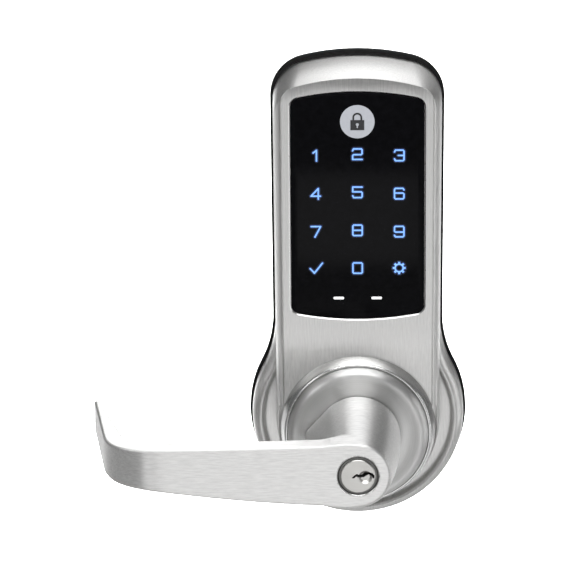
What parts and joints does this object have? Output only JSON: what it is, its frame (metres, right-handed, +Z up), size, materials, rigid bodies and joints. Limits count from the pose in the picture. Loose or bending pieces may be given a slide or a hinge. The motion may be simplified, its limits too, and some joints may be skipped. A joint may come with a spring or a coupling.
{
  "type": "keypad lever lock",
  "caption": "Exterior trim of a cylindrical lever lock, with a touch keypad over the lever and a key cylinder in the lever's hub.",
  "frame": {"origin": "on the lever's spindle axis, in the plane of the door's face that the seal rests on", "axes": "+Y along the spindle into the door, -Y towards the user, +Z up, +X to the right as the user sees the trim; the lever points to -X"},
  "size_m": [0.171, 0.1283, 0.2218],
  "materials": {
    "housing_metal": "vertically brushed satin plating on a die casting",
    "lever_metal": "lengthwise brushed satin plating",
    "dish_metal": "satin plating, brushed round the axis",
    "seal_rubber": "matt black rubber",
    "plate_steel": "zinc-plated sheet steel",
    "screw_steel": "zinc-plated screws, slightly dark",
    "lens_black": "gloss black hard-coated lens",
    "legend_print": "backlit legend, light blue when lit",
    "badge_print": "pale printed disc",
    "symbol_print": "dark printed symbol",
    "window_print": "white status window",
    "guide_plastic": "milky light-guide plastic",
    "board_green": "green solder mask",
    "chip_black": "black moulded package",
    "led_body": "small white light emitters",
    "connector_nylon": "natural nylon",
    "post_steel": "turned steel",
    "cage_steel": "sintered steel, grey",
    "bush_nylon": "natural acetal",
    "spring_steel": "dark spring steel",
    "cylinder_metal": "satin nickel plating",
    "plug_metal": "satin nickel plating",
    "pin_brass": "bright brass pins"
  },
  "bodies": {
    "trim": {"housing": "housing_metal", "door_gasket": "seal_rubber", "back_plate": "plate_steel", "back_plate_screws": "screw_steel", "rose_dish": "dish_metal", "keypad_lens": "lens_black", "lens_seal": "seal_rubber", "key_legends": "legend_print", "wake_badge": "badge_print", "wake_symbol": "symbol_print", "status_windows": "window_print", "light_guide": "guide_plastic", "keypad_board": "board_green", "key_leds": "led_body", "controller_chip": "chip_black", "board_connector": "connector_nylon", "buzzer": "chip_black", "board_screws": "screw_steel", "cable_grommet": "seal_rubber", "through_bolt_posts": "post_steel", "upper_post": "post_steel", "spring_cage": "cage_steel", "cage_cover": "plate_steel", "cage_screws": "screw_steel", "front_bush": "bush_nylon", "rear_bush": "bush_nylon", "return_spring": "spring_steel"},
    "lever": {"lever_handle": "lever_metal", "spindle_sleeve": "post_steel", "spring_carrier": "cage_steel", "thrust_washer": "plate_steel", "retaining_ring": "spring_steel", "cylinder_shell": "cylinder_metal", "driver_pins": "pin_brass", "pin_springs": "spring_steel", "chamber_cover": "plate_steel", "cylinder_retainer": "spring_steel", "catch_spring": "spring_steel"},
    "catch": {"lever_catch": "post_steel"},
    "plug": {"key_plug": "plug_metal", "key_pins": "pin_brass", "tailpiece": "post_steel", "plug_clip": "spring_steel"}
  },
  "joints": [
    {"name": "lever_turn", "type": "hinge", "parent": "trim", "child": "lever", "pos_m": [0, 0, 0], "axis": [0, 1, 0], "range_deg": [-45, 45], "stiffness_Nm_per_rad": 3.8, "springref_deg": 2.29, "deforming": ["return_spring"]},
    {"name": "plug_turn", "type": "hinge", "parent": "lever", "child": "plug", "pos_m": [0, -0.094, 0], "axis": [0, 1, 0], "range_deg": [-90, 90]},
    {"name": "catch_press", "type": "slide", "parent": "lever", "child": "catch", "axis": [0, 0, 1], "range_m": [0, 0.002], "stiffness_N_per_m": 1200, "deforming": ["catch_spring"]}
  ]
}
